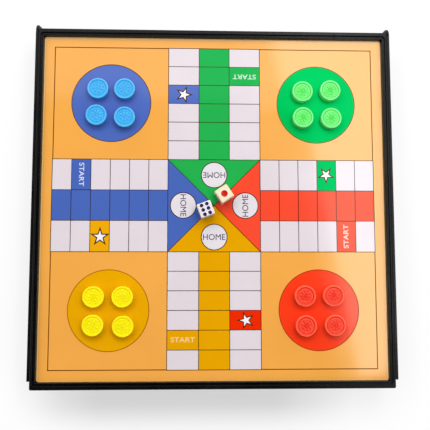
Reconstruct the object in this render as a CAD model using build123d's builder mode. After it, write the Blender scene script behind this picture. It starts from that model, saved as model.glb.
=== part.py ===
from build123d import *
import math
import os

# Folding ludo board box: a square tray closed by a hinged lid that carries the playing board.
# Sixteen magnetic counters and two dice stand on the board.
# Millimetres. +Z up, +Y towards the hinge, origin under the middle of the closed case.

# Case
case_width = 250.0  # over the tray's two side walls
case_height = 28.0  # table to the top of the lid's rim
lid_depth = 248.4  # front lip to back face of the lid
lid_height = 9.8  # bottom of the lid's skirt to the top of its rim
side_drop = 0.8  # top of the side walls below the top of the rim
front_overhang = 5.7  # lid's front lip, in front of the tray's front wall
side_gap = 0.25  # lid to side wall, each side
seat_gap = 0.3  # lid above the ribs and the tongue that stop it
tray_wall = 1.6
floor_thickness = 1.8
lid_wall = 1.8
deck_thickness = 1.8

# Board
sheet_thickness = 0.25
plate_thickness = 0.5
edge_gap = 0.15  # sheet and plate to the wall of their recess
recess_depth = 3.5  # top of the rim down to the printed face

# Rim of the lid, from the recess outwards: lip, groove, flat band
side_band = 1.65  # band beside the tray's side walls
end_band = 2.7  # band along the front and the back
lip_width = 1.2
lip_drop = 0.5
lip_round = 0.5  # along the recess
lip_bevel = 0.3  # along the groove
groove_width = 1.0
groove_depth = 1.3
groove_bevel = 0.3
band_round = 0.8
lid_corner = 1.2

# Hinge
hinge_inset = 2.2  # axis in from the lid's back face and up from its skirt's bottom
stub_diameter = 3.0
stub_clearance = 0.1  # radial
stub_recess = 0.2  # end of the stub below the ear's outer face
ear_thickness = 3.2
ear_lead = 2.1  # conical lead-in that guides the stub into the ear
boss_gap = 0.25  # ear to the lid's pocket
knuckle_length = 6.0
open_angle = 105.0
stop_gap = 0.3  # lid's back face to the tray's back wall when open

# Tray's feet, ribs and storage bays
foot_height = 1.0
foot_size = 11.0
foot_inset = 17.0
foot_bevel = 0.3
bottom_round = 1.2
corner_round = 0.6
rest_rib_thickness = 1.6
rest_rib_reach = 0.6  # ribs past the inner face of the lid's skirt
rest_rib_count = 5
rest_rib_pitch = 46.0
divider_thickness = 1.6
divider_height = 12.0
divider_offset = 42.0
scoop_width = 60.0  # finger scoop in the top of each divider
scoop_depth = 6.0

# Lid's stiffening ribs
deck_rib_thickness = 1.2
deck_rib_height = 2.2
deck_rib_count = 4
deck_rib_pitch = 47.0
deck_rib_gap = 1.0  # ribs to the tray's tongue

# Front latch: two pairs of ridges, the lid's resting under the tray's
latch_offset = 62.0
latch_length = 24.0
latch_height = 1.6
latch_clearance = 0.3  # between the tips of a pair

# Counters
counter_diameter = 14.5
counter_height = 5.0
counter_rim = 1.8  # width of the raised rim, which slopes down to the face
counter_recess = 0.5  # sunk face below the rim's outer edge
magnet_size = 7.5
magnet_thickness = 1.8
magnet_gap = 0.05
yard_inset = 46.95  # sheet's edges to the middle of each player's circle

# Dice
die_size = 10.0
die_bevel = 0.8

# Heights
lid_bottom = case_height - lid_height
side_top = case_height - side_drop
board_z = case_height - recess_depth
plate_top = board_z - sheet_thickness
deck_top = plate_top - plate_thickness
deck_bottom = deck_top - deck_thickness
ledge_z = lid_bottom - seat_gap
floor_top = foot_height + floor_thickness

# Hinge axis and ears
hinge_z = lid_bottom + hinge_inset
ear_radius = side_top - hinge_z
case_depth = lid_depth + ear_radius - hinge_inset

# Plan
lid_front = -case_depth / 2
lid_back = lid_front + lid_depth
lid_width = case_width - 2 * (tray_wall + side_gap)
board_y = (lid_front + lid_back) / 2
hinge_y = lid_back - hinge_inset
tray_front = lid_front + front_overhang
tray_back = lid_back
tray_depth = tray_back - tray_front
tray_y = (tray_front + tray_back) / 2
rim_inset = lip_width + groove_width
recess_width = lid_width - 2 * (side_band + rim_inset)
recess_length = lid_depth - 2 * (end_band + rim_inset)
sheet_width = recess_width - 2 * edge_gap
sheet_length = recess_length - 2 * edge_gap
skirt_inner = lid_width / 2 - lid_wall
tray_inner = case_width / 2 - tray_wall
tongue_half = skirt_inner - side_gap
tongue_top = deck_bottom - seat_gap
ear_face = case_width / 2 - ear_thickness
pocket_face = ear_face - boss_gap
latch_reach = (front_overhang - lid_wall - latch_clearance) / 2
knuckle_depth = 2 * hinge_inset
hinge_axis = Axis((0, hinge_y, hinge_z), (1, 0, 0))

os.makedirs("parts", exist_ok=True)


def upright(y):
    """Plane facing the front at depth y: its own x is X, its own y is Z."""
    return Plane(origin=(0, y, 0), x_dir=(1, 0, 0), z_dir=(0, -1, 0))


def stop_height(y):
    """Height of the back wall's top at depth y, parallel to the lid's back face when it is open."""
    reach = hinge_inset + stop_gap - (y - hinge_y) * math.cos(math.radians(open_angle))
    return hinge_z - reach / math.sin(math.radians(open_angle))


# Tray: floor, four walls, hinge ears, feet, rest ribs and dividers
with BuildPart() as tray:
    with BuildSketch(Plane.XY.offset(foot_height)):
        with Locations((0, tray_y)):
            Rectangle(case_width, tray_depth)
    extrude(amount=ledge_z - foot_height)
    for side in (-1, 1):
        with BuildSketch(Plane.YZ.offset(side * tray_inner)):
            with Locations(((tray_front + hinge_y) / 2, (foot_height + side_top) / 2)):
                Rectangle(hinge_y - tray_front, side_top - foot_height)
        extrude(amount=side * tray_wall)
    for side in (-1, 1):
        flank = tray.faces().filter_by(Axis.X).sort_by(Axis.X)[-1 if side > 0 else 0]
        fillet(flank.edges().filter_by(Axis.Z).sort_by(Axis.Y)[0], radius=corner_round)
    fillet(tray.faces().sort_by(Axis.Z)[0].edges(), radius=bottom_round)

    # storage hollow
    with BuildSketch(Plane.XY.offset(floor_top)):
        with Locations((0, tray_y)):
            Rectangle(2 * tray_inner, tray_depth - 2 * tray_wall)
    extrude(amount=ledge_z - floor_top, mode=Mode.SUBTRACT)

    # sloped top of the back wall, on which the open lid comes to rest
    with BuildSketch(Plane.YZ.offset(-tray_inner)):
        with BuildLine():
            Polyline(
                (tray_back - tray_wall, stop_height(tray_back - tray_wall)),
                (tray_back, stop_height(tray_back)),
                (tray_back, ledge_z),
                (tray_back - tray_wall, ledge_z),
                close=True,
            )
        make_face()
    extrude(amount=2 * tray_inner, mode=Mode.SUBTRACT)

    # hinge ears, ribs for the lid's skirt, dividers and latch ridges
    for side in (-1, 1):
        with BuildSketch(upright(hinge_y)):
            with BuildLine():
                Polyline(
                    (side * ear_face, hinge_z),
                    (side * ear_face, side_top - ear_lead),
                    (side * (ear_face + ear_lead), side_top),
                    (side * case_width / 2, side_top),
                    (side * case_width / 2, hinge_z),
                    close=True,
                )
            make_face()
        revolve(axis=hinge_axis)
        with BuildSketch(Plane.YZ.offset(side * ear_face)):
            with Locations((hinge_y, hinge_z)):
                Circle(stub_diameter / 2 + stub_clearance)
        extrude(amount=side * ear_thickness, mode=Mode.SUBTRACT)

        rib_inner = skirt_inner - rest_rib_reach
        with BuildSketch(Plane.XY.offset(floor_top)):
            with Locations((side * (rib_inner + tray_inner) / 2, tray_y)):
                with GridLocations(0, rest_rib_pitch, 1, rest_rib_count):
                    Rectangle(tray_inner - rib_inner, rest_rib_thickness)
        extrude(amount=ledge_z - floor_top)

        divider_top = floor_top + divider_height
        with BuildSketch(Plane.YZ.offset(side * divider_offset)):
            with Locations((tray_y, floor_top + divider_height / 2)):
                Rectangle(tray_depth - 2 * tray_wall, divider_height)
            with Locations((tray_y, divider_top)):
                SlotOverall(scoop_width, 2 * scoop_depth, mode=Mode.SUBTRACT)
        extrude(amount=divider_thickness / 2, both=True)

        with BuildSketch(Plane.YZ.offset(side * latch_offset)):
            with BuildLine():
                Polyline(
                    (tray_front, tongue_top),
                    (tray_front - latch_reach, tongue_top - latch_height / 2),
                    (tray_front, tongue_top - latch_height),
                    close=True,
                )
            make_face()
        extrude(amount=latch_length / 2, both=True)

    # tongue of the front wall, behind the lid's front skirt
    with BuildSketch(Plane.XY.offset(ledge_z)):
        with Locations((0, tray_front + tray_wall / 2)):
            Rectangle(2 * tongue_half, tray_wall)
    extrude(amount=tongue_top - ledge_z)

    # feet
    with BuildSketch(Plane.XY):
        with Locations((0, tray_y)):
            with GridLocations(case_width - 2 * foot_inset, tray_depth - 2 * foot_inset, 2, 2):
                Rectangle(foot_size, foot_size)
    extrude(amount=foot_height)
    chamfer(tray.faces().sort_by(Axis.Z)[0:4].edges(), length=foot_bevel)

tray.part.label = "tray"
export_step(tray.part, "parts/tray.step")

# Lid: skirt, deck, rim with its lip and groove, knuckles and stubs of the hinge
with BuildPart() as lid:
    with BuildSketch(Plane.XY.offset(lid_bottom)):
        with Locations((0, board_y)):
            Rectangle(lid_width, lid_depth)
    extrude(amount=lid_height)
    fillet(lid.edges().filter_by(Axis.Z).group_by(Axis.Y)[0], radius=lid_corner)
    fillet(lid.edges().filter_by(Axis.X).group_by(Axis.Y)[-1].sort_by(Axis.Z)[0], radius=hinge_inset)
    fillet(lid.faces().sort_by(Axis.Z)[-1].edges(), radius=band_round)

    # hollow under the deck, which leaves a solid knuckle in each back corner
    with BuildSketch(Plane.XY.offset(lid_bottom)):
        with Locations((0, board_y)):
            Rectangle(2 * skirt_inner, lid_depth - 2 * lid_wall)
        with Locations((-pocket_face, lid_back), (pocket_face, lid_back)):
            Rectangle(2 * knuckle_length, 2 * knuckle_depth, mode=Mode.SUBTRACT)
    extrude(amount=deck_bottom - lid_bottom, mode=Mode.SUBTRACT)

    # ribs under the deck, kept behind the tray's tongue
    rib_front = tray_front + tray_wall + deck_rib_gap
    rib_back = lid_back - lid_wall
    with BuildSketch(Plane.XY.offset(deck_bottom - deck_rib_height)):
        with Locations((0, (rib_front + rib_back) / 2)):
            with GridLocations(deck_rib_pitch, 0, deck_rib_count, 1):
                Rectangle(deck_rib_thickness, rib_back - rib_front)
            with GridLocations(0, deck_rib_pitch, 1, deck_rib_count):
                Rectangle(2 * skirt_inner, deck_rib_thickness)
    extrude(amount=deck_rib_height)

    # recess of the board
    with BuildSketch(Plane.XY.offset(deck_top)):
        with Locations((0, board_y)):
            Rectangle(recess_width, recess_length)
    extrude(amount=case_height - deck_top, mode=Mode.SUBTRACT)

    # groove round the lip, then the lip itself, which stands lower than the band
    lip_x = recess_width + 2 * lip_width
    lip_y = recess_length + 2 * lip_width
    groove_x = lip_x + 2 * groove_width
    groove_y = lip_y + 2 * groove_width
    with BuildSketch(Plane.XY.offset(case_height - groove_depth)):
        with Locations((0, board_y)):
            RectangleRounded(groove_x, groove_y, rim_inset)
            RectangleRounded(lip_x, lip_y, lip_width, mode=Mode.SUBTRACT)
    extrude(amount=groove_depth, mode=Mode.SUBTRACT)
    with BuildSketch(Plane.XY.offset(case_height - lip_drop)):
        with Locations((0, board_y)):
            RectangleRounded(lip_x, lip_y, lip_width)
    extrude(amount=lip_drop, mode=Mode.SUBTRACT)
    lip_top = lid.faces().filter_by(Plane.XY).group_by(Axis.Z)[-2][0]
    fillet(lip_top.inner_wires()[0].edges(), radius=lip_round)
    lip_top = lid.faces().filter_by(Plane.XY).group_by(Axis.Z)[-2][0]
    chamfer(lip_top.outer_wire().edges(), length=lip_bevel)
    band_top = lid.faces().sort_by(Axis.Z)[-1]
    chamfer(band_top.inner_wires()[0].edges(), length=groove_bevel)

    for side in (-1, 1):
        # ridge of the latch inside the front skirt, under the tray's ridge
        skirt_y = lid_front + lid_wall
        with BuildSketch(Plane.YZ.offset(side * latch_offset)):
            with BuildLine():
                Polyline(
                    (skirt_y, lid_bottom),
                    (skirt_y + latch_reach, lid_bottom + latch_height / 2),
                    (skirt_y, lid_bottom + latch_height),
                    close=True,
                )
            make_face()
        extrude(amount=latch_length / 2, both=True)

        # conical pocket that clears the ear, then the stub that turns in it
        pocket_radius = side_top - hinge_z - ear_lead + boss_gap
        pocket_depth = lid_width / 2 - pocket_face
        with BuildSketch(upright(hinge_y)):
            with BuildLine():
                Polyline(
                    (side * pocket_face, hinge_z),
                    (side * pocket_face, hinge_z + pocket_radius),
                    (side * (pocket_face + pocket_depth), hinge_z + pocket_radius + pocket_depth),
                    (side * (pocket_face + pocket_depth), hinge_z),
                    close=True,
                )
            make_face()
        revolve(axis=hinge_axis, mode=Mode.SUBTRACT)
        stub_end = case_width / 2 - stub_recess
        with BuildSketch(Plane.YZ.offset(side * pocket_face)):
            with Locations((hinge_y, hinge_z)):
                Circle(stub_diameter / 2)
        extrude(amount=side * (stub_end - pocket_face))

lid.part.label = "lid"
export_step(lid.part, "parts/lid.step")

# Steel plate under the printed sheet, which holds the magnets
with BuildPart() as steel_plate:
    with BuildSketch(Plane.XY.offset(deck_top)):
        with Locations((0, board_y)):
            Rectangle(sheet_width, sheet_length)
    extrude(amount=plate_thickness)

steel_plate.part.label = "steel_plate"
export_step(steel_plate.part, "parts/steel_plate.step")

# Printed sheet: the playing face
with BuildPart() as printed_sheet:
    with BuildSketch(Plane.XY.offset(plate_top)):
        with Locations((0, board_y)):
            Rectangle(sheet_width, sheet_length)
    extrude(amount=sheet_thickness)

printed_sheet.part.label = "printed_sheet"
export_step(printed_sheet.part, "parts/printed_sheet.step")


def make_counter(name, x, y):
    """Counter standing on the board: sloped rim, sunk face, square pocket for the magnet."""
    radius = counter_diameter / 2
    top = board_z + counter_height
    with BuildPart() as counter:
        with BuildSketch(Plane(origin=(x, y, 0), x_dir=(1, 0, 0), z_dir=(0, -1, 0))):
            with BuildLine():
                Polyline(
                    (0, board_z),
                    (radius, board_z),
                    (radius, top),
                    (radius - counter_rim, top - counter_recess),
                    (0, top - counter_recess),
                    close=True,
                )
            make_face()
        revolve(axis=Axis((x, y, 0), (0, 0, 1)))
        with BuildSketch(Plane(origin=(x, y, board_z))):
            Rectangle(magnet_size + 2 * magnet_gap, magnet_size + 2 * magnet_gap)
        extrude(amount=magnet_thickness, mode=Mode.SUBTRACT)
    counter.part.label = name
    export_step(counter.part, f"parts/{name}.step")


def make_magnet(name, x, y):
    """Magnet cut from sheet, flush with the counter's underside."""
    with BuildPart() as magnet:
        with BuildSketch(Plane(origin=(x, y, board_z))):
            Rectangle(magnet_size, magnet_size)
        extrude(amount=magnet_thickness)
    magnet.part.label = name
    export_step(magnet.part, f"parts/{name}.step")


def make_die(name, x, y, turn):
    """Die standing on the board, turned about its vertical axis."""
    with BuildPart() as die:
        with BuildSketch(Plane(origin=(x, y, board_z)).rotated((0, 0, turn))):
            Rectangle(die_size, die_size)
        extrude(amount=die_size)
        chamfer(die.edges(), length=die_bevel)
    die.part.label = name
    export_step(die.part, f"parts/{name}.step")


# Where the counters were left in each player's circle: offsets from the circle's middle
counter_spots = {
    "blue": ((-1, 1), [(-8.7, 9.0), (9.7, 8.9), (-9.6, -9.8), (9.9, -11.1)]),
    "green": ((1, 1), [(-10.3, 8.2), (9.3, 9.1), (-10.1, -10.4), (9.7, -10.7)]),
    "yellow": ((-1, -1), [(-9.5, 9.6), (10.0, 9.6), (-9.6, -9.4), (10.6, -10.1)]),
    "red": ((1, -1), [(-10.3, 10.0), (9.1, 10.2), (-9.9, -10.1), (10.0, -9.8)]),
}

# Dice: place from the board's centre, turn in degrees
dice_spots = {
    "die_white": (-6.0, -3.4, 21.0),
    "die_cream": (6.6, 7.2, 33.8),
}

for colour, (quadrant, spots) in counter_spots.items():
    for number, (along, up) in enumerate(spots, start=1):
        spot_x = quadrant[0] * (sheet_width / 2 - yard_inset) + along
        spot_y = board_y + quadrant[1] * (sheet_length / 2 - yard_inset) + up
        make_counter(f"counter_{colour}_{number}", spot_x, spot_y)
        make_magnet(f"magnet_{colour}_{number}", spot_x, spot_y)
for name, (spot_x, spot_y, turn) in dice_spots.items():
    make_die(name, spot_x, board_y + spot_y, turn)
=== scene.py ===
import math

import bpy
import numpy as np
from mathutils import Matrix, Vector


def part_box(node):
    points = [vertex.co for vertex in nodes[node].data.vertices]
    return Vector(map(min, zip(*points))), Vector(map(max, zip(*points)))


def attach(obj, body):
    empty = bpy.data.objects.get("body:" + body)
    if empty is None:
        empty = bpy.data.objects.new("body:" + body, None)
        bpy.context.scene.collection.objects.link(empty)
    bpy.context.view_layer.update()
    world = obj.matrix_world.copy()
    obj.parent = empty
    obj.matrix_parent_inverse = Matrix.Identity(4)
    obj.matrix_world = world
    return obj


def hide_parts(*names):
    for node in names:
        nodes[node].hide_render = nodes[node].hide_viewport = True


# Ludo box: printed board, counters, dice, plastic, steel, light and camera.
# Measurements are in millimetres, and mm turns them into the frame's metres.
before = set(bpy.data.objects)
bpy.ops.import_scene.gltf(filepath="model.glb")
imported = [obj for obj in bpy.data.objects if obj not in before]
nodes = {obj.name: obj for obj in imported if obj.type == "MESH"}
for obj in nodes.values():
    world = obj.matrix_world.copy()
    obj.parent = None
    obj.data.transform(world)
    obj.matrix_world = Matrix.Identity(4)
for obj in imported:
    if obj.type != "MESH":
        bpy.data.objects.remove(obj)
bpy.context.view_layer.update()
mm = 0.001
print("frame loaded:", len(nodes), "nodes")


# meshes from arrays

def meshFromArrays(name, points, faceSets):
    # points is n x 3 in metres; each face set is an array of corner numbers, one row a face
    mesh = bpy.data.meshes.new(name)
    mesh.vertices.add(len(points))
    mesh.vertices.foreach_set("co", np.asarray(points, np.float32).ravel())
    corners = np.concatenate([faces.ravel() for faces in faceSets])
    sizes = np.concatenate([np.full(len(faces), faces.shape[1]) for faces in faceSets])
    mesh.loops.add(len(corners))
    mesh.loops.foreach_set("vertex_index", corners.astype(np.int32))
    mesh.polygons.add(len(sizes))
    mesh.polygons.foreach_set("loop_start", (np.cumsum(sizes) - sizes).astype(np.int32))
    mesh.update(calc_edges=True)
    mesh.validate()
    return mesh


def setPointValues(mesh, name, values):
    # one number at each point of a mesh, which its material reads by name
    attribute = mesh.attributes.new(name, "FLOAT", "POINT")
    attribute.data.foreach_set("value", values.astype(np.float32))


def addPiece(name, mesh, material, body, smooth=False):
    # a mesh made a piece that rides on a body
    mesh.materials.clear()
    mesh.materials.append(material)
    mesh.polygons.foreach_set("use_smooth", np.full(len(mesh.polygons), smooth))
    piece = bpy.data.objects.new(name, mesh)
    bpy.context.scene.collection.objects.link(piece)
    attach(piece, body)
    return piece


def gridFaces(rows, columns, wrap=False):
    # quads of a grid of points, row after row; wrap joins the last column to the first
    r, c = np.meshgrid(np.arange(rows - 1), np.arange(columns if wrap else columns - 1), indexing="ij")
    after = (c + 1) % columns
    here, above = r * columns, (r + 1) * columns
    return np.stack([here + c, here + after, above + after, above + c], -1).reshape(-1, 4)


def hubFaces(hub, ring, flip=False):
    # triangles from one point to each two neighbours of a closed ring; flip turns them over
    after = np.roll(ring, -1)
    ends = [after, ring] if flip else [ring, after]
    return np.stack([np.full(len(ring), hub), *ends], -1)


def turnedShell(radius, height, angle, foot, crown):
    # point(row, angle) = (radius cos angle, radius sin angle, height): a profile carried round the z axis.
    # foot and crown are the heights of the two points on the axis that close it
    rows, around = radius.shape
    points = np.stack([radius * np.cos(angle), radius * np.sin(angle), height], -1).reshape(-1, 3)
    ring, hub = np.arange(around), len(points)
    faceSets = [gridFaces(rows, around, wrap=True),
                hubFaces(hub, ring, flip=True),
                hubFaces(hub + 1, ring + (rows - 1) * around)]
    return np.vstack([points, [0, 0, foot], [0, 0, crown]]), faceSets


def placed(points, centre, turn):
    # turns points about z by turn degrees, (x cos - y sin, x sin + y cos), moves them to centre, and
    # takes millimetres to metres
    c, s = math.cos(math.radians(turn)), math.sin(math.radians(turn))
    x, y, z = points.T
    return (np.stack([x * c - y * s, x * s + y * c, z], -1) + np.asarray(centre)) * mm


def inMillimetres(box):
    # a box's lowest and highest corners
    return [np.array(corner) / mm for corner in box]


# materials

def srgb(red, green, blue):
    # a colour written 0 to 255 as it looks, given back as the shader takes it
    c = np.array([red, green, blue]) / 255
    linear = np.where(c <= 0.04045, c / 12.92, ((c + 0.055) / 1.055) ** 2.4)
    return (*(float(v) for v in linear), 1.0)


def shade(colour, amount):
    # the same colour, lighter or darker by a share
    return (*(min(1.0, c * amount) for c in colour[:3]), 1.0)


def startMaterial(name):
    # a material with only its shader, and the coordinates that its patterns read
    material = bpy.data.materials.new(name)
    material.use_nodes = True
    tree = material.node_tree
    tree.nodes.clear()
    output = tree.nodes.new("ShaderNodeOutputMaterial")
    shader = tree.nodes.new("ShaderNodeBsdfPrincipled")
    tree.links.new(shader.outputs["BSDF"], output.inputs["Surface"])
    place = tree.nodes.new("ShaderNodeTexCoord")
    return material, tree, shader, place.outputs["Object"]


def noise(tree, place, size, detail=3.0, stretch=None):
    # fractal noise whose lumps are about size mm across, stretched along an axis when asked
    if stretch is not None:
        mapping = tree.nodes.new("ShaderNodeMapping")
        mapping.inputs["Scale"].default_value = stretch
        tree.links.new(place, mapping.inputs["Vector"])
        place = mapping.outputs["Vector"]
    lumps = tree.nodes.new("ShaderNodeTexNoise")
    lumps.inputs["Scale"].default_value = 1 / (size * mm)
    lumps.inputs["Detail"].default_value = detail
    tree.links.new(place, lumps.inputs["Vector"])
    return lumps.outputs["Fac"]


def ranged(tree, value, low, high, fromLow=0.3, fromHigh=0.7):
    # takes fromLow to fromHigh, where noise mostly keeps, to low to high
    span = tree.nodes.new("ShaderNodeMapRange")
    span.inputs["From Min"].default_value = fromLow
    span.inputs["From Max"].default_value = fromHigh
    span.inputs["To Min"].default_value = low
    span.inputs["To Max"].default_value = high
    tree.links.new(value, span.inputs["Value"])
    return span.outputs["Result"]


def mixed(tree, factor, first, second):
    # one colour into another by factor
    blend = tree.nodes.new("ShaderNodeMix")
    blend.data_type = "RGBA"
    tree.links.new(factor, blend.inputs["Factor"])
    for socket, colour in ((blend.inputs["A"], first), (blend.inputs["B"], second)):
        if isinstance(colour, bpy.types.NodeSocket):
            tree.links.new(colour, socket)
        else:
            socket.default_value = colour
    return blend.outputs["Result"]


def mathNode(tree, operation, *values):
    # two values put together by a sum, a product or the larger of them
    node = tree.nodes.new("ShaderNodeMath")
    node.operation = operation
    for value, socket in zip(values, node.inputs):
        tree.links.new(value, socket)
    return node.outputs["Value"]


def looking(tree):
    # 1 where the camera looks, straight, in a reflection or through something clear
    ray = tree.nodes.new("ShaderNodeLightPath")
    mirrored = mathNode(tree, "MAXIMUM", ray.outputs["Is Camera Ray"], ray.outputs["Is Glossy Ray"])
    return mathNode(tree, "MAXIMUM", mirrored, ray.outputs["Is Transmission Ray"])


def bumped(tree, shader, height, depth, strength):
    # a height value as bumps of depth mm
    bump = tree.nodes.new("ShaderNodeBump")
    bump.inputs["Strength"].default_value = strength
    bump.inputs["Distance"].default_value = depth * mm
    tree.links.new(height, bump.inputs["Height"])
    tree.links.new(bump.outputs["Normal"], shader.inputs["Normal"])


def dressNode(name, material):
    # gives a node of the frame its finish
    slots = nodes[name].data.materials
    slots.clear()
    slots.append(material)


# black moulded plastic of the tray and the lid
plasticLook = {
    "colour": srgb(4, 4, 4),
    "faded": srgb(7, 7, 8),
    "shine": 0.19,
    "roughness": (0.2, 0.3),
    "grain": 0.35,      # mm, spark-eroded texture
    "grainDepth": 0.012,
    "grainStrength": 0.5,
    "flow": 26.0,       # mm, slow change of gloss from the moulding
    "scuff": 3.0,       # mm, faint rubbed streaks along y
    "scuffStretch": (1.0, 0.12, 1.0),
    "scuffSpan": (0.56, 0.72),      # values of the noise where a streak starts and is full
    "scuffRoughness": 0.12,
}


def blackPlastic(look):
    # fine grain, with slow changes of tone and gloss and faint rubbed streaks
    material, tree, shader, place = startMaterial("mouldedBlack")
    grain = noise(tree, place, look["grain"], detail=2.0)
    flow = noise(tree, place, look["flow"], detail=2.0)
    scuffs = noise(tree, place, look["scuff"], detail=4.0, stretch=look["scuffStretch"])
    tone = mixed(tree, ranged(tree, flow, 0.0, 1.0), look["colour"], look["faded"])
    tree.links.new(tone, shader.inputs["Base Color"])
    moulded = ranged(tree, flow, *look["roughness"])
    rubbed = ranged(tree, scuffs, 0.0, look["scuffRoughness"], *look["scuffSpan"])
    tree.links.new(mathNode(tree, "ADD", moulded, rubbed), shader.inputs["Roughness"])
    shader.inputs["Specular IOR Level"].default_value = look["shine"]
    bumped(tree, shader, grain, look["grainDepth"], look["grainStrength"])
    return material


plastic = blackPlastic(plasticLook)
for name in ("tray", "lid"):
    dressNode(name, plastic)
print("moulded plastic set")


# steel plate under the print, and the counters' magnets
steelLook = {
    "colour": srgb(168, 170, 172),
    "roughness": (0.28, 0.42),
    "line": 0.4,        # mm, width of the rolling lines
    "stretch": (1.0, 0.02, 1.0),    # which draws them out along y
}
magnetLook = {
    "colour": srgb(150, 152, 156),
    "roughness": (0.2, 0.36),
    "line": 0.8,
    "stretch": (1.0, 1.0, 0.2),
}
metalLook = {
    "blotch": 18.0,     # mm, cloudy patches
    "dull": 0.88,       # how dark they get
    "lineDepth": 0.01,
    "lineStrength": 0.4,
}


def rolledMetal(name, look):
    # cloudy metal with fine lines drawn out along an axis
    material, tree, shader, place = startMaterial(name)
    lines = noise(tree, place, look["line"], stretch=look["stretch"])
    blotches = noise(tree, place, metalLook["blotch"])
    dull = shade(look["colour"], metalLook["dull"])
    tone = mixed(tree, ranged(tree, blotches, 0.0, 1.0), dull, look["colour"])
    tree.links.new(tone, shader.inputs["Base Color"])
    shader.inputs["Metallic"].default_value = 1.0
    tree.links.new(ranged(tree, lines, *look["roughness"]), shader.inputs["Roughness"])
    bumped(tree, shader, lines, metalLook["lineDepth"], metalLook["lineStrength"])
    return material


dressNode("steel_plate", rolledMetal("rolledSteel", steelLook))
nickel = rolledMetal("nickelPlate", magnetLook)
for name in nodes:
    if name.startswith("magnet_"):
        dressNode(name, nickel)
print("steel and magnets set")


# the printed board
board = {
    "offCentre": (0.0, 0.1),    # the print's middle from the sheet's
    "halfFrame": 111.7,     # thin line round the whole print
    "frameLine": 0.62,
    "halfArm": 32.1,        # arms and centre square
    "halfLane": 10.62,      # middle column of an arm
    "cells": 6,             # in each column
    "cellStep": 13.3,
    "line": 0.48,           # between the cells
    "yard": 71.95,          # corner circles, from the centre
    "yardRadius": 27.8,
    "yardPoints": 160,
    "ringLine": 0.62,
    "home": {"green": (0.0, 21.3), "blue": (-21.4, 0.0), "red": (21.6, 0.0), "amber": (0.0, -21.9)},
    "homeRadius": 9.2,
    "homePoints": 96,
    "homeLine": 0.6,
    "layer": 0.012,         # each colour of the print lies this much above the one before
    "sunk": 0.1,            # share of a layer that the top one stays under the solid sheet's face
    "sheetCorner": 1.4,
    "cornerPoints": 9,
    "paleEdgeAndLight": 0.8,        # where the ink stops short of the sheet's cut edge: partly its paler cut edge, partly painted light over the lip's shade
    "paintedLightShift": (0.0, -0.55),  # more of this painted light at the back, where the lip's shade is deepest, and less at the front
    "paleInset": 0.01,      # its outer edge from the sheet's
}
clear = (1.0, 1.0, 1.0, 1.0)
warmGloss = (1.0, 1.0, 0.8, 1.0)
greenGloss = (0.0, 1.0, 0.35, 1.0)
inks = {
    # colour of the ink, strength of the film's gloss over it and the gloss's own colour
    "orange": (srgb(240, 168, 75), 0.52, (1.0, 1.0, 0.92, 1.0)),
    "white": (srgb(222, 212, 218), 0.5, clear),
    "blue": (srgb(72, 101, 180), 0.4, clear),
    "green": (srgb(36, 171, 76), 0.4, (0.1, 1.0, 0.5, 1.0)),
    "red": (srgb(242, 75, 49), 0.2, warmGloss),
    "amber": (srgb(227, 161, 2), 0.4, clear),
    "blueYard": (srgb(76, 104, 184), 0.4, clear),
    "greenYard": (srgb(2, 184, 82), 0.3, greenGloss),
    "redYard": (srgb(247, 60, 26), 0.32, warmGloss),
    "amberYard": (srgb(230, 165, 3), 0.4, clear),
    "blueCell": (srgb(76, 104, 184), 0.4, clear),
    "greenCell": (srgb(10, 182, 86), 0.3, greenGloss),
    "redCell": (srgb(232, 42, 4), 0.2, warmGloss),
    "amberCell": (srgb(234, 167, 10), 0.4, clear),
    "blueWord": (srgb(208, 212, 242), 0.3, clear),
    "greenWord": (srgb(198, 234, 206), 0.3, clear),
    "redWord": (srgb(248, 214, 204), 0.3, clear),
    "amberWord": (srgb(244, 206, 142), 0.3, clear),
    "blueRing": (srgb(90, 62, 58), 0.1, clear),
    "greenRing": (srgb(80, 92, 24), 0.1, clear),
    "redRing": (srgb(168, 50, 10), 0.1, clear),
    "amberRing": (srgb(168, 102, 6), 0.1, clear),
    "line": (srgb(56, 30, 18), 0.15, clear),
    "ring": (srgb(84, 44, 12), 0.1, clear),      # round the white stars
    "frame": (srgb(102, 46, 0), 0.1, (1.0, 0.9, 0.5, 1.0)),
    "homeWhite": (srgb(226, 220, 226), 0.5, clear),
    "starWhite": (srgb(240, 238, 240), 0.5, clear),
    "lettering": (srgb(60, 42, 76), 0.2, clear),
    # the pale strip: the sheet's paler cut edge, and painted light over the shade of the rim's lip
    "edge": (srgb(248, 202, 132), 0.52, clear),
}
filmLook = {
    "roughness": (0.08, 0.10),
    "mottle": 30.0,         # mm, slow change of the ink
    "fade": 0.95,           # how dark it gets
    "dot": 0.22,            # mm, the print's screen
    "dotShade": 0.9,
    "dotShare": 0.35,
    "dapple": 4.0,          # mm, the film's orange peel
    "dappleDepth": 0.02,
    "dappleStrength": 0.25,
}


def printedFilm(name, colour, shine, gloss):
    # ink under a clear film: mottled colour, and one ripple shared by all inks
    material, tree, shader, place = startMaterial(name)
    mottle = noise(tree, place, filmLook["mottle"])
    dots = noise(tree, place, filmLook["dot"], detail=1.0)
    ink = mixed(tree, ranged(tree, mottle, 0.0, 1.0), shade(colour, filmLook["fade"]), colour)
    dotted = ranged(tree, dots, 0.0, filmLook["dotShare"])
    ink = mixed(tree, dotted, ink, shade(colour, filmLook["dotShade"]))
    tree.links.new(ink, shader.inputs["Base Color"])
    tree.links.new(ranged(tree, mottle, *filmLook["roughness"]), shader.inputs["Roughness"])
    shader.inputs["Specular IOR Level"].default_value = shine
    shader.inputs["Specular Tint"].default_value = gloss
    dapple = noise(tree, place, filmLook["dapple"], detail=2.0)
    bumped(tree, shader, dapple, filmLook["dappleDepth"], filmLook["dappleStrength"])
    return material


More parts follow.
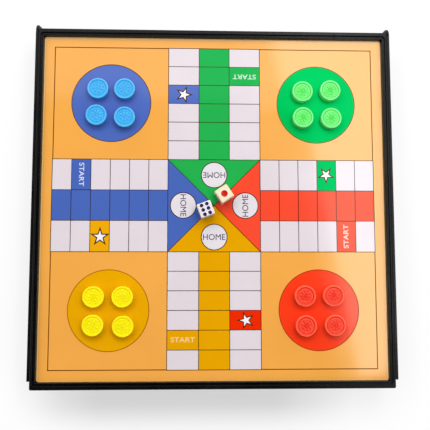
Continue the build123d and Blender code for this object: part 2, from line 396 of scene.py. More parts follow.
film = {name: printedFilm("print_" + name, *look) for name, look in inks.items()}
sheetLow, sheetHigh = inMillimetres(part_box("printed_sheet"))
sheetX, sheetY = (sheetLow[:2] + sheetHigh[:2]) / 2
boardX, boardY = sheetX + board["offCentre"][0], sheetY + board["offCentre"][1]
# the print's layers from the lowest: lines, rims and the sheet's pale edge with its painted light lie
# under the colours, dark rings and stars over them, then what is pale, then the dark letters
layers = ["ground", "under", "colour", "over", "pale", "letters"]
baseTop = sheetHigh[2] - (len(layers) - 1) * board["layer"]


def layerHeight(layer):
    # height in mm: the ground, and one layer more for each colour above it
    return baseTop + layers.index(layer) * board["layer"] - board["sunk"] * board["layer"]


def addPrint(name, points, faceSets, ink, layer):
    # flat shapes about the board's centre, at their layer
    x, y = points.T
    flat = np.column_stack([x + boardX, y + boardY, np.full(len(points), layerHeight(layer))])
    addPiece(name, meshFromArrays(name, flat * mm, faceSets), film[ink], "lid")


def quads(points):
    # a face on each four points in turn
    return np.arange(len(points)).reshape(-1, 4)


def addPanels(name, panels, ink, layer):
    # flat shapes of four corners each, as one piece
    points = np.vstack(panels)
    addPrint(name, points, [quads(points)], ink, layer)


def rectangle(left, right, front, back):
    # its four corners, counter-clockwise
    return np.array([[left, front], [right, front], [right, back], [left, back]])


def fans(outlines, centres):
    # each outline, counter-clockwise, joined to a point inside it by triangles
    points, faceSets, start = [], [], 0
    for outline, centre in zip(outlines, centres):
        count = len(outline)
        points.append(np.vstack([outline, [centre]]))
        faceSets.append(start + hubFaces(count, np.arange(count)))
        start += count + 1
    return np.vstack(points), faceSets


def circle(radius, centre, count):
    # point(a) = centre + radius (cos a, sin a) at even angles
    a = np.arange(count) * 2 * math.pi / count
    return np.stack([centre[0] + radius * np.cos(a), centre[1] + radius * np.sin(a)], -1)


def discs(radius, centres, count):
    # each circle joined to its centre
    return fans([circle(radius, centre, count) for centre in centres], centres)


def quarterTurned(points, quarter):
    # quarter turns counter-clockwise about the board's centre, (x cos - y sin, x sin + y cos)
    c, s = round(math.cos(quarter * math.pi / 2)), round(math.sin(quarter * math.pi / 2))
    x, y = points.T
    return np.stack([x * c - y * s, x * s + y * c], -1)


def sheetOutline(inset):
    # the sheet's rounded rectangle about its centre, drawn in by inset: an arc radius (cos a, sin a) at
    # each corner, moved out by half the side less the radius, and joined by straight sides
    half = (sheetHigh[:2] - sheetLow[:2]) / 2 - inset
    corner = board["sheetCorner"] - inset
    a = np.linspace(0, math.pi / 2, board["cornerPoints"])
    arc = np.stack([np.cos(a), np.sin(a)], -1) * corner
    arcs = [arc + (half if quarter % 2 == 0 else half[::-1]) - corner for quarter in range(4)]
    return np.vstack([quarterTurned(points, quarter) for quarter, points in enumerate(arcs)])


def groundSlab():
    # the sheet itself: a rounded rectangle carried from its back face to just under the print
    outline = sheetOutline(0.0) + np.array([sheetX, sheetY])
    levels = np.array([sheetLow[2], layerHeight("ground")])
    count = len(outline)
    points = np.vstack([np.column_stack([outline, np.full(count, z)]) for z in levels])
    hubs = np.array([[sheetX, sheetY, z] for z in levels])
    ring = np.arange(count)
    faceSets = [gridFaces(2, count, wrap=True),
                hubFaces(2 * count, ring, flip=True),
                hubFaces(2 * count + 1, ring + count)]
    return np.vstack([points, hubs]) * mm, faceSets


sheetMesh = meshFromArrays("printedSheet", *groundSlab())
sheetPiece = addPiece("printedSheet", sheetMesh, film["orange"], "lid")
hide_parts("printed_sheet")
# a pale strip round the print: the sheet's paler cut edge, widened at the back as painted light over the
# lip's shade
inkEdge = sheetOutline(board["paleEdgeAndLight"]) + np.array(board["paintedLightShift"])
edgePoints = np.vstack([sheetOutline(board["paleInset"]), inkEdge]) - np.array(board["offCentre"])
addPrint("printPaleEdgeAndLight", edgePoints, [gridFaces(2, len(inkEdge), wrap=True)], "edge", "under")

halfArm, halfLane, halfFrame = board["halfArm"], board["halfLane"], board["halfFrame"]
halfLine, halfBorder = board["line"] / 2, board["frameLine"] / 2
rowEdges = halfArm + board["cellStep"] * np.arange(board["cells"] + 1)
columnEdges = np.array([-halfArm, -halfLane, halfLane, halfArm])


def armCell(column, row):
    # a panel of the top arm between its lines, half a line in from the cell's edges
    return rectangle(columnEdges[column] + halfLine, columnEdges[column + 1] - halfLine,
                     rowEdges[row] + halfLine, rowEdges[row + 1] - halfLine)


# arms in quarter turns from the top one: green, blue, amber, red
armInks = ["green", "blue", "amber", "red"]
lane = 1                                 # the middle column, in the arm's own colour
startCell = (2, board["cells"] - 2)      # column and row of the coloured start cell
starCell = (0, board["cells"] - 3)
armLines = rectangle(-halfArm - halfLine, halfArm + halfLine, halfArm, rowEdges[-1] + halfLine)
borderLow, borderHigh = halfFrame - halfBorder, halfFrame + halfBorder
borderLine = rectangle(-halfFrame - halfBorder, borderLow, borderLow, borderHigh)
coloured = {ink: [] for ink in armInks}
starCells, whites, darks, borders = {}, [], [], []
for quarter, ink in enumerate(armInks):
    guest = armInks[(quarter + 1) % 4]   # the star cell has the colour of the arm on its left
    for cell in [(column, row) for column in range(3) for row in range(board["cells"])]:
        panel = quarterTurned(armCell(*cell), quarter)
        if cell == starCell:
            starCells[guest] = panel
        elif cell[0] == lane or cell == startCell:
            coloured[ink].append(panel)
        else:
            whites.append(panel)
    darks.append(quarterTurned(armLines, quarter))
    borders.append(quarterTurned(borderLine, quarter))
darks.append(rectangle(-halfArm, halfArm, -halfArm, halfArm))
addPanels("printWhiteCells", whites, "white", "colour")
addPanels("printLines", darks, "line", "under")
addPanels("printBorder", borders, "frame", "under")

yardSides = {"blue": (-1, 1), "green": (1, 1), "amber": (-1, -1), "red": (1, -1)}
# home triangles, each shrunk about its incentre by half a line
inradius = halfArm * (math.sqrt(2) - 1)
incentre = np.array([0, halfArm - inradius])
triangle = np.array([[-halfArm, halfArm], [0, 0], [halfArm, halfArm]])
triangle = incentre + (triangle - incentre) * (1 - halfLine / inradius)
for quarter, ink in enumerate(armInks):
    yards = [np.array(yardSides[ink]) * board["yard"]]
    ring = discs(board["yardRadius"], yards, board["yardPoints"])
    addPrint("print_ring_" + ink, *ring, ink + "Ring", "under")
    yard = discs(board["yardRadius"] - board["ringLine"], yards, board["yardPoints"])
    addPrint("print_yard_" + ink, *yard, ink + "Yard", "colour")
    middle = quarterTurned(incentre[None], quarter)
    homePoints, homeFaces = fans([quarterTurned(triangle, quarter)], middle)
    cellPoints = np.vstack(coloured[ink])
    faceSets = [*homeFaces, len(homePoints) + quads(cellPoints)]
    addPrint("print_" + ink, np.vstack([homePoints, cellPoints]), faceSets, ink, "colour")
    addPanels("print_star_cell_" + ink, [starCells[ink]], ink + "Cell", "colour")

homes = list(board["home"].values())
homeRings = discs(board["homeRadius"], homes, board["homePoints"])
addPrint("printHomeRings", *homeRings, "line", "over")
homeDiscs = discs(board["homeRadius"] - board["homeLine"], homes, board["homePoints"])
addPrint("printHomeDiscs", *homeDiscs, "homeWhite", "pale")

stars = {
    # place from the board's centre, the way that the first point looks, in degrees, and the size
    "green": {"place": (78.4, 21.7), "looks": -90.0, "radius": 6.6},
    "blue": {"place": (-21.3, 78.4), "looks": 0.0, "radius": 6.6},
    "amber": {"place": (-78.4, -21.9), "looks": 90.0, "radius": 7.1},
    "red": {"place": (21.7, -78.8), "looks": 180.0, "radius": 6.6},
}
whiteShare = 0.63       # the white star's share of the dark one
waist = 0.382           # a pentagram's inner radius over its outer one


def addStars(name, share, ink, layer):
    # ten points at even angles, centre + r (cos a, sin a), with the outer and the inner radius in turn
    outlines = []
    for spec in stars.values():
        a = np.arange(10) * math.pi / 5 + math.radians(spec["looks"])
        r = np.where(np.arange(10) % 2 == 0, 1.0, waist) * (share * spec["radius"])
        outlines.append(np.array(spec["place"]) + np.stack([r * np.cos(a), r * np.sin(a)], -1))
    addPrint(name, *fans(outlines, [spec["place"] for spec in stars.values()]), ink, layer)


addStars("printStarsDark", 1.0, "ring", "over")
addStars("printStarsWhite", whiteShare, "starWhite", "pale")
print("board print laid out")

lettering = {
    "start": {"word": "START", "size": (16.5, 3.5), "weight": 0.014, "layer": "pale"},
    "home": {"word": "HOME", "size": (15.4, 4.1), "weight": 0.001, "layer": "letters"},
}
startPlace = (21.3, 91.7)   # of the word in the top arm


def wordMesh(spec, name, centre, turn):
    # a word in the plain built-in letters, made a mesh, then fitted to its size and put in its place
    curve = bpy.data.curves.new(name, "FONT")
    curve.body = spec["word"]
    curve.offset = spec["weight"]
    curve.resolution_u = 5
    holder = bpy.data.objects.new(name, curve)
    bpy.context.scene.collection.objects.link(holder)
    bpy.context.view_layer.update()
    mesh = bpy.data.meshes.new_from_object(holder)
    bpy.data.objects.remove(holder)
    co = np.zeros(len(mesh.vertices) * 3, np.float32)
    mesh.vertices.foreach_get("co", co)
    co = co.reshape(-1, 3)[:, :2].astype(float)
    low, high = co.min(0), co.max(0)
    fitted = (co - (low + high) / 2) * (np.array(spec["size"]) / (high - low))
    level = np.column_stack([fitted, np.zeros(len(fitted))])
    spot = (boardX + centre[0], boardY + centre[1], layerHeight(spec["layer"]))
    mesh.vertices.foreach_set("co", placed(level, spot, turn).astype(np.float32).ravel())
    mesh.update()
    return mesh


for quarter, ink in enumerate(armInks):
    # each word reads from the player's seat, outside its own arm
    turn = 180 + 90 * quarter
    start = quarterTurned(np.array([startPlace]), quarter)[0]
    words = (("start", ink + "Word", start), ("home", "lettering", board["home"][ink]))
    for kind, wordInk, centre in words:
        name = "word_" + kind + "_" + ink
        mesh = wordMesh(lettering[kind], name, centre, turn)
        addPiece(name, mesh, film[wordInk], "lid")
print("words placed")


# counters: a turned shell with a rolled rim, a sunk face with a rosette, and a square magnet pocket below
counter = {
    "rimRound": 0.4,
    "rimWidth": 1.75,
    "rimSlope": 0.7,        # the rim's fall to the face, a half wave
    "faceDrop": 0.3,
    "draft": 0.08,          # the side leans in by this much
    "footRound": 0.35,
    "pocket": 3.8,          # half the magnet pocket
    "pocketDepth": 1.85,
    "around": 96,           # points in a ring
    "footRings": 6,
    "rimRings": 9,
    "faceRings": 40,
    "faceRim": 0.1,         # the face's first ring from the end of the slope
    "faceHub": 0.25,        # radius of its last
    "highlightBlend": 0.5,       # over which the rim's painted highlight ends
    "highlightRise": 0.05,       # height over the face from which it counts
    "turn": 37.0,           # degrees, each counter of a colour beyond the one before
}
rosette = {
    "relief": 0.2,
    "petals": 8,
    "root": 1.1,            # radius between two petals
    "length": 2.5,          # of a petal from there
    "hollow": (0.45, 0.1),  # share of a petal that is sunk, and how much more
    "petalSoft": 0.12,      # over which an edge rises
    "ring": (4.3, 0.22),    # radius and width of the ring round the petals
    "ringRise": 0.8,        # share of the relief
    "boss": 0.75,
    "bossSoft": 0.1,
    "bossRise": 0.9,
}


def within(distance, soft):
    # 1 inside an edge and 0 outside it, with a soft step: 1 / (1 + e^(distance / soft))
    return 1 / (1 + np.exp(distance / soft))


def rosetteRise(r, a):
    # height from 0 to 1 over the face: petals whose edge is root + length |cos(petals angle / 2)| and
    # whose middle is sunk, a ring e^-((r - radius) / width)^2 round them, and a small boss
    edge = rosette["root"] + rosette["length"] * np.abs(np.cos(a * rosette["petals"] / 2))[None, :]
    share, more = rosette["hollow"]
    leaf = within(r - edge, rosette["petalSoft"]) - within(r - share * edge - more, rosette["petalSoft"])
    radius, width = rosette["ring"]
    ring = np.exp(-((r - radius) / width) ** 2)
    boss = within(r - rosette["boss"], rosette["bossSoft"])
    return rosette["ringRise"] * ring + leaf + rosette["bossRise"] * boss


def counterShell():
    # profile rows from the pocket's roof down its walls, out under the foot, up the side, over the
    # rolled rim and in across the face; the pocket's rows follow a square, r = half / max(|cos|, |sin|),
    # the foot and the rim are quarter circles, and the rim falls to the face by drop (1 - cos pi t) / 2
    low, high = inMillimetres(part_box("counter_blue_1"))
    outer, top = (high[0] - low[0]) / 2, high[2] - low[2]
    n, roof = counter["around"], counter["pocketDepth"]
    a = np.arange(n) * 2 * math.pi / n
    square = counter["pocket"] / np.maximum(np.abs(np.cos(a)), np.abs(np.sin(a)))
    # a ring in the pocket's roof, then its corners, twice so that they stay sharp
    rows = [(square * 0.5, roof), (square, roof), (square, roof), (square, 0.0), (square, 0.0)]
    foot = counter["footRound"]
    rows += [(np.full(n, outer - foot + foot * math.sin(t)), foot - foot * math.cos(t))
             for t in np.linspace(0, math.pi / 2, counter["footRings"])]
    side, roll = outer - counter["draft"], counter["rimRound"]
    rows += [(np.full(n, side - roll + roll * math.cos(t)), top - roll + roll * math.sin(t))
             for t in np.linspace(0, math.pi / 2, counter["rimRings"])]
    inner, slope, drop = side - counter["rimWidth"], counter["rimSlope"], counter["faceDrop"]
    rows += [(np.full(n, inner + slope * (1 - t)), top - drop * (1 - math.cos(t * math.pi)) / 2)
             for t in np.linspace(0, 1, counter["rimRings"])]
    radius = np.array([r for r, z in rows])
    height = np.array([np.full(n, z) for r, z in rows])
    rings = np.linspace(inner - counter["faceRim"], counter["faceHub"], counter["faceRings"])
    r = rings[:, None] * np.ones((1, n))
    face = top - drop
    raised = rosetteRise(r, a)
    # parts of the painted light, each 0 to 1: painted highlight on the rim, lighter outward over the face
    # and on its raised shapes, which leaves painted shade in low places, and painted light down the shaded
    # side; the two points that close the shell come last
    fade = (radius - inner - slope) / counter["highlightBlend"] + 0.5
    onRim = np.clip(fade, 0, 1) * (height > face + counter["highlightRise"])
    onSide = (radius > outer - foot) * (height < face)
    off, offFace = 0 * onRim, 0 * r
    outward, lifted = np.clip(r / inner, 0, 1), np.clip(raised, 0, 1)
    parts = [(onRim, offFace), (off, outward), (off, lifted), (onSide, offFace)]
    paintedLights = np.stack([np.vstack(part) for part in parts], -1).reshape(-1, 4)
    radius, height = np.vstack([radius, r]), np.vstack([height, face + rosette["relief"] * raised])
    crown = face + rosette["bossRise"] * rosette["relief"]
    points, faceSets = turnedShell(radius, height, a[None, :] * np.ones_like(radius), roof, crown)
    return points, faceSets, np.vstack([paintedLights, [[0, 0, 0, 0], [0, 0, 1, 0]]])


counterLook = {
    # light is painted light: how much the face is painted lighter towards the rim, how much its raised
    # shapes are, which leaves painted shade in low places, and how much the shaded side is; rim is the
    # painted highlight's colour;
    # depth in mm and share say how far and how much light goes in
    "blue": {
        "rim": srgb(102, 190, 242), "deep": srgb(30, 160, 224), "light": (0.2, 0.34, 0.1),
        "depth": 0.5, "share": 0.15, "shine": 0.35,
    },
    "green": {
        "rim": srgb(134, 244, 154), "deep": srgb(50, 214, 48), "light": (0.46, 0.18, 0.9),
        "depth": 0.7, "share": 0.3, "shine": 0.4,
    },
    "yellow": {
        "rim": srgb(254, 234, 36), "deep": srgb(236, 224, 0), "light": (0.3, 0.1, 0.6),
        "depth": 0.7, "share": 0.2, "shine": 0.08,
    },
    "red": {
        "rim": srgb(254, 112, 78), "deep": srgb(230, 26, 0), "light": (0.42, 0.08, 0.8),
        "depth": 0.7, "share": 0.2, "shine": 0.2,
    },
}
counterFinish = {
    "swirl": 5.0,           # mm, slow swirls of the deeper colour
    "swirlShare": 0.25,
    "inward": (0.3, 0.7),   # how far light goes in: a base, and what is added with the colour
    "fine": 0.6,            # mm
    "roughness": (0.15, 0.21),
    "bumpDepth": 0.01,
    "bumpStrength": 0.3,
}


def counterPlastic(name, look):
    # tinted plastic that lets light in a little, with deeper swirls; painted highlight on the rim and
    # side, painted shade in low places
    material, tree, shader, place = startMaterial(name)
    swirl = noise(tree, place, counterFinish["swirl"])
    fine = noise(tree, place, counterFinish["fine"], detail=2.0)
    # painted highlight and shade: the deep colour is lit towards the rim colour by each point's value
    paintedLight = tree.nodes.new("ShaderNodeAttribute")
    paintedLight.attribute_name = "paintedLight"
    tone = mixed(tree, paintedLight.outputs["Fac"], look["deep"], look["rim"])
    tone = mixed(tree, ranged(tree, swirl, 0.0, counterFinish["swirlShare"]), tone, look["deep"])
    tree.links.new(tone, shader.inputs["Base Color"])
    tree.links.new(ranged(tree, fine, *counterFinish["roughness"]), shader.inputs["Roughness"])
    shader.inputs["Specular IOR Level"].default_value = look["shine"]
    shader.inputs["Subsurface Weight"].default_value = look["share"]
    base, more = counterFinish["inward"]
    shader.inputs["Subsurface Radius"].default_value = tuple(base + more * c for c in look["rim"][:3])
    shader.inputs["Subsurface Scale"].default_value = look["depth"] * mm
    bumped(tree, shader, fine, counterFinish["bumpDepth"], counterFinish["bumpStrength"])
    return material


shellPoints, shellFaces, shellPaintedLight = counterShell()
for colour, look in counterLook.items():
    material = counterPlastic("counter_" + colour, look)
    # each point's painted highlight or painted shade, as its share of the rim colour
    paintedLight = shellPaintedLight @ np.array([1.0, *look["light"]])
    for number in range(1, 5):
        node = "counter_%s_%d" % (colour, number)
        low, high = inMillimetres(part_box(node))
        centre = [(low[0] + high[0]) / 2, (low[1] + high[1]) / 2, low[2]]
        points = placed(shellPoints, centre, counter["turn"] * number)
        mesh = meshFromArrays(node + "_shell", points, shellFaces)
        setPointValues(mesh, "paintedLight", paintedLight)
        piece = addPiece(node + "_shell", mesh, material, node, smooth=True)
        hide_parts(node)
print("counters turned")


# dice: a rounded cube with dished pips
dieShape = {
    "round": 0.95,          # radius of its edges
    "roundSteps": 7,
    "fine": 52,             # points across a face between them
    "dish": 0.28,           # depth of a pip
    "dishPower": 0.7,       # how steep its wall is
    "pip": 1.28,
    "bigPip": 2.3,          # the single pip
    "spread": (1.9, 3.2),   # places of the six from the middle
    "even": (2.3, 2.3),     # and of all others
    "paint": 0.03,          # over the dish
    "bowlRings": 6,
    "bowlHub": 0.2,         # the last ring's share of the radius
    "bowlPoints": 28,
    "wearFrom": 1.6,        # below the face, where an edge's wear starts
    "wearOver": 1.4,        # and the way over which it grows
}
pipRows = {
    1: [(0, 0)],
    2: [(-1, -1), (1, 1)],
    3: [(-1, -1), (0, 0), (1, 1)],
    4: [(-1, -1), (-1, 1), (1, -1), (1, 1)],
    5: [(-1, -1), (-1, 1), (0, 0), (1, -1), (1, 1)],
    6: [(-1, -1), (-1, 0), (-1, 1), (1, -1), (1, 0), (1, 1)],
}
# outward direction, then the face's own right and up
faceFrames = {
    "top": ((0, 0, 1), (1, 0, 0), (0, 1, 0)),
    "bottom": ((0, 0, -1), (-1, 0, 0), (0, 1, 0)),
    "front": ((0, -1, 0), (1, 0, 0), (0, 0, 1)),
    "back": ((0, 1, 0), (-1, 0, 0), (0, 0, 1)),
    "right": ((1, 0, 0), (0, 1, 0), (0, 0, 1)),
    "left": ((-1, 0, 0), (0, -1, 0), (0, 0, 1)),
}
pipInk = srgb(38, 22, 62)
dice = {
    # turn in degrees, what each face counts, the body, its worn edges, the pips and the single pip
    "die_white": {
        "turn": 21.0, "faces": {"top": 6, "bottom": 1, "front": 2, "back": 5, "right": 3, "left": 4},
        "body": srgb(224, 221, 240), "warm": srgb(236, 222, 204),
        "ink": pipInk, "oneInk": pipInk,
    },
    "die_cream": {
        "turn": 33.8, "faces": {"top": 1, "bottom": 6, "front": 3, "back": 4, "right": 2, "left": 5},
        "body": srgb(240, 228, 204), "warm": srgb(234, 208, 162),
        "ink": pipInk, "oneInk": srgb(190, 22, 12),
    },
}


def faceAxes(side):
    # the directions out of a face, to its right and up
    return (np.array(direction, float) for direction in faceFrames[side])


def pipPlaces(count):
    # middle and radius of each pip on a face that counts this many
    step = dieShape["spread"] if count == 6 else dieShape["even"]
    radius = dieShape["bigPip"] if count == 1 else dieShape["pip"]
    return [(u * step[0], v * step[1], radius) for u, v in pipRows[count]]


def dishDepth(squared):
    # dish (1 - (r / radius)^2)^power at the place where squared is (r / radius)^2
    return dieShape["dish"] * np.clip(1 - squared, 0, 1) ** dieShape["dishPower"]


def dieBody(half, faces):
    # each face is a grid; a point p goes to clip(p) + round * direction(p - clip(p)), and dishes sink it
    r = dieShape["round"]
    flat = np.linspace(-(half - r), half - r, dieShape["fine"])
    edge = half - r * (1 - np.tan(np.linspace(0, math.pi / 4, dieShape["roundSteps"])[1:]))
    t = np.concatenate([-edge[::-1], flat, edge])
    u, v = np.meshgrid(t, t, indexing="xy")
    points, faceSets, start = [], [], 0
    for side, count in faces.items():
        out, right, up = faceAxes(side)
        p = u[..., None] * right + v[..., None] * up + half * out
        core = np.clip(p, -(half - r), half - r)
        away = p - core
        p = core + r * away / np.linalg.norm(away, axis=-1, keepdims=True)
        sink = np.zeros_like(u)
        for cu, cv, radius in pipPlaces(count):
            sink = np.maximum(sink, dishDepth(((u - cu) ** 2 + (v - cv) ** 2) / radius ** 2))
        points.append((p - sink[..., None] * out).reshape(-1, 3))
        faceSets.append(start + gridFaces(len(t), len(t)))
        start += len(t) ** 2
    return np.vstack(points), faceSets


def pipBowls(half, faces, single):
    # a shallow bowl of paint in each dish, a hair above it but not above the face; single picks the
    # faces that count one, or else all the others
    rings = np.linspace(dieShape["bowlHub"], 1.0, dieShape["bowlRings"])[::-1]
    around = dieShape["bowlPoints"]
    a = np.arange(around) * 2 * math.pi / around
    lastRing = np.arange(around) + (len(rings) - 1) * around
    depth = dishDepth(rings ** 2)
    points, faceSets, start = [], [], 0
    for side, count in faces.items():
        out, right, up = faceAxes(side)
        wanted = (count == 1) == single
        for cu, cv, radius in pipPlaces(count) if wanted else []:
            u = cu + radius * rings[:, None] * np.cos(a)
            v = cv + radius * rings[:, None] * np.sin(a)
            rise = np.minimum(half - depth[:, None] + dieShape["paint"], half) + 0 * u
            bowl = (u[..., None] * right + v[..., None] * up + rise[..., None] * out).reshape(-1, 3)
            hub = cu * right + cv * up + (half - dieShape["dish"] + dieShape["paint"]) * out
            points.append(np.vstack([bowl, hub]))
            faceSets.append(start + gridFaces(len(rings), around, wrap=True))
            faceSets.append(start + hubFaces(len(bowl), lastRing))
            start += len(bowl) + 1
    return np.vstack(points), faceSets


dieFinish = {
    "cloud": 4.0,           # mm, slow change of tone
    "cloudShare": 0.25,
    "fine": 0.5,            # mm
    "roughness": (0.25, 0.38),
    "bumpDepth": 0.01,
    "bumpStrength": 0.25,
    "inward": 0.3,          # share of the light that goes in
    "inwardDepth": 1.2,     # mm
    "inwardColour": (1.0, 0.8, 0.6),
}
pipFinish = {
    "fine": 0.4,            # mm, uneven paint
    "lighter": 1.25,
    "roughness": (0.2, 0.35),
    "shine": 0.2,
    "bumpDepth": 0.01,
    "bumpStrength": 0.3,
}


def dieMaterial(name, look):
    # warm at the edges, where the moulding is thin and handled
    material, tree, shader, place = startMaterial(name)
    cloud = noise(tree, place, dieFinish["cloud"])
    fine = noise(tree, place, dieFinish["fine"], detail=2.0)
    edge = tree.nodes.new("ShaderNodeAttribute")
    edge.attribute_name = "edgeWear"
    tone = mixed(tree, edge.outputs["Fac"], look["body"], look["warm"])
    tone = mixed(tree, ranged(tree, cloud, 0.0, dieFinish["cloudShare"]), tone, look["warm"])
    tree.links.new(tone, shader.inputs["Base Color"])
    tree.links.new(ranged(tree, fine, *dieFinish["roughness"]), shader.inputs["Roughness"])
    shader.inputs["Subsurface Weight"].default_value = dieFinish["inward"]
    shader.inputs["Subsurface Radius"].default_value = dieFinish["inwardColour"]
    shader.inputs["Subsurface Scale"].default_value = dieFinish["inwardDepth"] * mm
    bumped(tree, shader, fine, dieFinish["bumpDepth"], dieFinish["bumpStrength"])
    return material


def pipPaint(name, colour):
    # paint of slightly uneven tone and gloss
    material, tree, shader, place = startMaterial(name)
    fine = noise(tree, place, pipFinish["fine"], detail=2.0)
    tone = mixed(tree, ranged(tree, fine, 0.0, 1.0), colour, shade(colour, pipFinish["lighter"]))
    tree.links.new(tone, shader.inputs["Base Color"])
    tree.links.new(ranged(tree, fine, *pipFinish["roughness"]), shader.inputs["Roughness"])
    shader.inputs["Specular IOR Level"].default_value = pipFinish["shine"]
    bumped(tree, shader, fine, pipFinish["bumpDepth"], pipFinish["bumpStrength"])
    return material


for node, die in dice.items():
    low, high = inMillimetres(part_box(node))
    half = (high[2] - low[2]) / 2
    centre = (low + high) / 2
    points, faceSets = dieBody(half, die["faces"])
    mesh = meshFromArrays(node + "_body", placed(points, centre, die["turn"]), faceSets)
    # how near a point is to an edge: 1 where two of its coordinates reach the rounding
    near = np.sort(np.abs(points), axis=1)[:, 1]
    wear = np.clip((near - (half - dieShape["wearFrom"])) / dieShape["wearOver"], 0, 1)
    setPointValues(mesh, "edgeWear", wear)
    body = addPiece(node + "_body", mesh, dieMaterial(node, die), node, smooth=True)
    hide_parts(node)
    for single, kind, colour in ((True, "one", die["oneInk"]), (False, "many", die["ink"])):
        points, faceSets = pipBowls(half, die["faces"], single)
        mesh = meshFromArrays(node + "_pips_" + kind, placed(points, centre, die["turn"]), faceSets)
        paint = pipPaint(node + "_" + kind, colour)
        addPiece(node + "_pips_" + kind, mesh, paint, node, smooth=True)
print("dice made")


# floor, light and camera
floorLook = {
    "size": 6.0,            # metres
    "drop": 0.0001,         # metres, so that it clears the feet
    "colour": srgb(250, 250, 250),
    "fibre": 0.8,           # mm
    "fibreShade": 0.99,
    "fibreDepth": 0.02,
    "fibreStrength": 0.1,
    "roughness": 0.8,
    "shine": 0.1,
    "white": (0.75, 0.24),      # share of plain white round the part, and in front where its shadow stays
    "shadowLeft": (-0.15, -0.08),   # metres: where that part starts and where it is full
    "shadowRight": (0.1, 0.045),
    "shadowFront": (-0.115, -0.145),
}


def floorMaterial(look):
    material, tree, shader, place = startMaterial("paperFloor")
    fibre = noise(tree, place, look["fibre"])
    darker = shade(look["colour"], look["fibreShade"])
    tone = mixed(tree, ranged(tree, fibre, 0.0, 1.0), look["colour"], darker)
    tree.links.new(tone, shader.inputs["Base Color"])
    shader.inputs["Roughness"].default_value = look["roughness"]
    shader.inputs["Specular IOR Level"].default_value = look["shine"]
    bumped(tree, shader, fibre, look["fibreDepth"], look["fibreStrength"])
    # a share of plain white that is seen but gives no light, smaller in front of the part
    parts = tree.nodes.new("ShaderNodeSeparateXYZ")
    tree.links.new(place, parts.inputs["Vector"])
    inFront = ranged(tree, parts.outputs["Y"], 0.0, 1.0, *look["shadowFront"])
    for side in ("shadowLeft", "shadowRight"):
        beside = ranged(tree, parts.outputs["X"], 0.0, 1.0, *look[side])
        inFront = mathNode(tree, "MULTIPLY", inFront, beside)
    share = mathNode(tree, "MULTIPLY", ranged(tree, inFront, *look["white"], 0.0, 1.0), looking(tree))
    plain = tree.nodes.new("ShaderNodeEmission")
    pick = tree.nodes.new("ShaderNodeMixShader")
    tree.links.new(share, pick.inputs["Fac"])
    tree.links.new(shader.outputs["BSDF"], pick.inputs[1])
    tree.links.new(plain.outputs["Emission"], pick.inputs[2])
    tree.links.new(pick.outputs["Shader"], tree.nodes["Material Output"].inputs["Surface"])
    return material


reach = floorLook["size"] / 2
floorPoints = np.column_stack([rectangle(-reach, reach, -reach, reach), np.full(4, -floorLook["drop"])])
floorMesh = meshFromArrays("floor", floorPoints, [quads(floorPoints)])
floorMesh.materials.append(floorMaterial(floorLook))
floor = bpy.data.objects.new("floor", floorMesh)
bpy.context.scene.collection.objects.link(floor)

lampHeight = 0.82       # metres, of all lamps
lights = {
    # flat soft boxes that face down, in metres: middle, width along x, length along y, turn in degrees,
    # and how bright the box itself looks, where 1 is white paper
    "rightBox": {"middle": (0.3185, 0.030), "size": (0.125, 0.54), "turn": 10.7, "brightness": 5.4},
    "stripBox": {"middle": (0.366, 0.212), "size": (0.036, 0.20), "turn": 10.7, "brightness": 5.4},
    "cornerBox": {"middle": (0.258, 0.419), "size": (0.224, 0.25), "turn": 10.7, "brightness": 5.2},
    "softBox": {"middle": (0.241, 0.015), "size": (0.030, 0.54), "turn": 10.7, "brightness": 1.0},
    "edgeBox": {"middle": (0.125, 0.365), "size": (0.070, 0.18), "turn": 17.0, "brightness": 1.8},
    "lowBox": {"middle": (0.175, 0.190), "size": (0.080, 0.15), "turn": 17.0, "brightness": 0.7},
    "backBox": {"middle": (-0.18, 0.42), "size": (0.54, 0.24), "turn": 0.0, "brightness": 1.2},
    "farBox": {"middle": (-0.05, 0.66), "size": (0.90, 0.24), "turn": 0.0, "brightness": 4.4},
    "leftBox": {"middle": (-0.55, 0.10), "size": (0.20, 0.70), "turn": 0.0, "brightness": 2.5},
}
for name, spec in lights.items():
    lamp = bpy.data.lights.new(name, "AREA")
    lamp.shape = "RECTANGLE"
    lamp.size, lamp.size_y = spec["size"]
    lamp.energy = spec["brightness"] * math.pi * lamp.size * lamp.size_y
    holder = bpy.data.objects.new(name, lamp)
    bpy.context.scene.collection.objects.link(holder)
    holder.location = (*spec["middle"], lampHeight)
    holder.rotation_euler = (0, 0, math.radians(spec["turn"]))

room = {
    "low": 0.86,            # how bright the walls are near the horizon
    "high": 1.62,           # and higher up
    "turned": (0.3, 0.65),  # heights of the direction between which they brighten
    "ceiling": (0.80, 0.90),    # and between which the dark ceiling starts
    "back": (0.15, 0.99, 0.0),  # the side away from the dark wall in front
    "sides": (0.1, 1.2),    # brightness of the wall in front and of the others
    "facing": (-0.8, 0.1),  # the turn to the back at which the one ends and the other starts
}


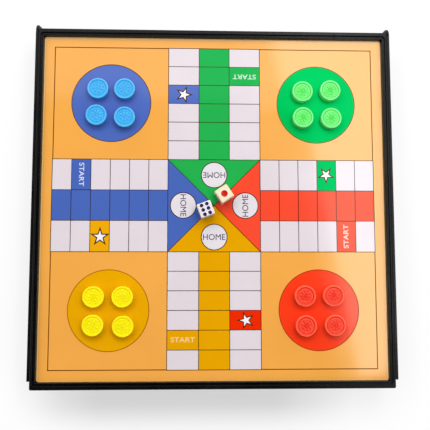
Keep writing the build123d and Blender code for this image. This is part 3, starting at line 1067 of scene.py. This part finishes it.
def roomLight(look):
    # pale walls, a darker one in front, and a dark ceiling
    world = bpy.data.worlds.new("room")
    bpy.context.scene.world = world
    world.use_nodes = True
    tree = world.node_tree
    tree.nodes.clear()
    direction = tree.nodes.new("ShaderNodeTexCoord").outputs["Generated"]
    parts = tree.nodes.new("ShaderNodeSeparateXYZ")
    tree.links.new(direction, parts.inputs["Vector"])
    facing = tree.nodes.new("ShaderNodeVectorMath")
    facing.operation = "DOT_PRODUCT"
    facing.inputs[1].default_value = look["back"]
    tree.links.new(direction, facing.inputs[0])
    strength = ranged(tree, parts.outputs["Z"], look["low"], look["high"], *look["turned"])
    belowCeiling = ranged(tree, parts.outputs["Z"], 1.0, 0.0, *look["ceiling"])
    strength = mathNode(tree, "MULTIPLY", strength, belowCeiling)
    sideLight = ranged(tree, facing.outputs["Value"], *look["sides"], *look["facing"])
    strength = mathNode(tree, "MULTIPLY", strength, sideLight)
    lit = tree.nodes.new("ShaderNodeBackground")
    tree.links.new(strength, lit.inputs["Strength"])
    seen = tree.nodes.new("ShaderNodeBackground")
    seen.inputs["Color"].default_value = (1.0, 1.0, 1.0, 1.0)
    tree.links.new(belowCeiling, seen.inputs["Strength"])
    pick = tree.nodes.new("ShaderNodeMixShader")
    tree.links.new(looking(tree), pick.inputs["Fac"])
    tree.links.new(lit.outputs["Background"], pick.inputs[1])
    tree.links.new(seen.outputs["Background"], pick.inputs[2])
    output = tree.nodes.new("ShaderNodeOutputWorld")
    tree.links.new(pick.outputs["Shader"], output.inputs["Surface"])


roomLight(room)

view = {
    "place": (-0.01526, -0.05095, 0.46233),     # metres
    "turn": (5.494, -2.070, -0.013),            # degrees
    "lens": 53.23,
    "sensor": 36.0,
    "near": 0.01,
}
camera = bpy.data.objects.new("camera", bpy.data.cameras.new("camera"))
bpy.context.scene.collection.objects.link(camera)
camera.location = view["place"]
camera.rotation_euler = [math.radians(angle) for angle in view["turn"]]
camera.data.lens = view["lens"]
camera.data.sensor_width = view["sensor"]
camera.data.clip_start = view["near"]
bpy.context.scene.camera = camera
bpy.context.scene.view_settings.view_transform = "Standard"
print("light and camera set")
